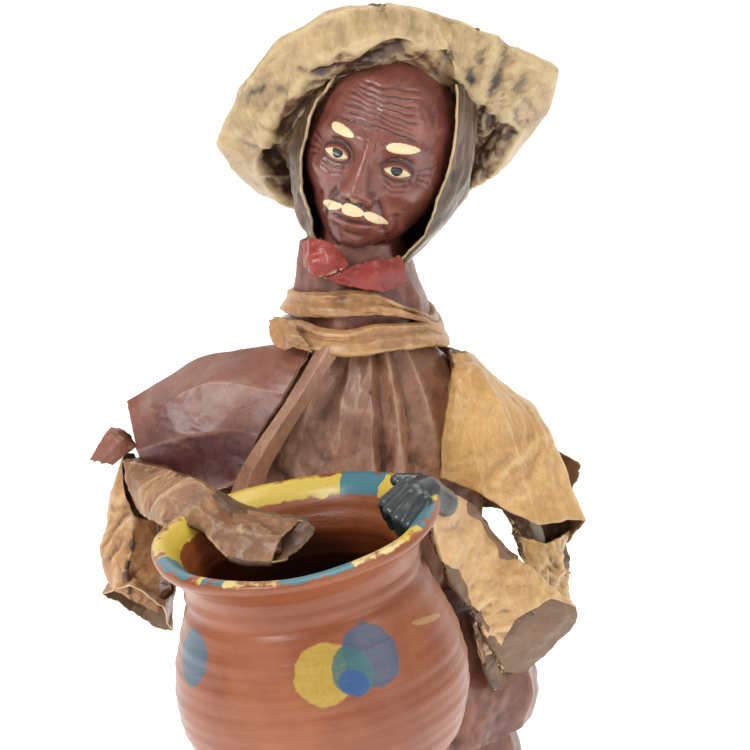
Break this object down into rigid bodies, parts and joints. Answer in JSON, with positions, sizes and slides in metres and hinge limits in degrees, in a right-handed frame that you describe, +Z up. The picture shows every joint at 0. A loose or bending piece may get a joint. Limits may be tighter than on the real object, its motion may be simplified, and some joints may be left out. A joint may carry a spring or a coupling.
{
  "type": "papier-mache folk figure",
  "caption": "Standing papier-mache figure of an old pot seller in a wide hat and folded paper clothes, holding a small painted clay pot, on a wooden board.",
  "frame": {"origin": "centre of the board's underside", "axes": "+Z up through the figure; the figure faces -Y, so its right arm is on the -X side"},
  "size_m": [0.1279, 0.1251, 0.2992],
  "materials": {
    "board_wood": "stained, satin varnish",
    "iron_wire": "annealed, bare",
    "newsprint": "wadded and pasted, bare",
    "painted_skin": "moulded, painted and lacquered",
    "sandal_paper": "painted dark brown",
    "fired_clay": "burnished, with painted marks",
    "maroon_paper": "stained and lacquered",
    "brown_paper": "stained and lacquered",
    "dark_paper": "stained and lacquered",
    "red_paper": "painted and lacquered",
    "kraft_paper": "lacquered",
    "pale_kraft_paper": "lacquered",
    "hair_paper": "stained and lacquered",
    "hat_paper": "lacquered, brown wash"
  },
  "bodies": {
    "root": {"base_board": "board_wood", "neck_dowel": "board_wood", "leg_wire": "iron_wire", "arm_wire": "iron_wire", "hip_lashing": "iron_wire", "shoulder_lashing": "iron_wire", "torso_core": "newsprint", "right_leg_core": "newsprint", "left_leg_core": "newsprint", "right_arm_core": "newsprint", "left_arm_core": "newsprint", "head": "painted_skin", "right_hand": "painted_skin", "left_hand": "painted_skin", "right_foot": "painted_skin", "left_foot": "painted_skin", "right_sandal_sole": "sandal_paper", "left_sandal_sole": "sandal_paper", "right_sandal_strap": "sandal_paper", "left_sandal_strap": "sandal_paper", "clay_pot": "fired_clay", "right_trouser_leg": "maroon_paper", "left_trouser_leg": "maroon_paper", "trouser_seat": "maroon_paper", "coat_skirt": "maroon_paper", "neck_collar": "maroon_paper", "right_upper_sleeve": "maroon_paper", "right_sleeve_flap": "maroon_paper", "shirt_body": "brown_paper", "chest_strap": "brown_paper", "back_cape": "brown_paper", "waist_sash": "dark_paper", "kerchief_right_fold": "red_paper", "kerchief_left_fold": "red_paper", "scarf_upper_wrap": "kraft_paper", "scarf_lower_wrap": "kraft_paper", "scarf_end": "kraft_paper", "right_elbow_wrap": "kraft_paper", "right_forearm_sleeve": "kraft_paper", "left_forearm_sleeve": "kraft_paper", "right_sleeve_fold": "kraft_paper", "left_sleeve_fold": "kraft_paper", "left_upper_sleeve": "pale_kraft_paper", "left_elbow_wrap": "pale_kraft_paper", "head_wrap": "hair_paper", "hat_crown": "hat_paper", "hat_brim": "hat_paper", "hat_lining_roll": "hat_paper"}
  },
  "joints": []
}
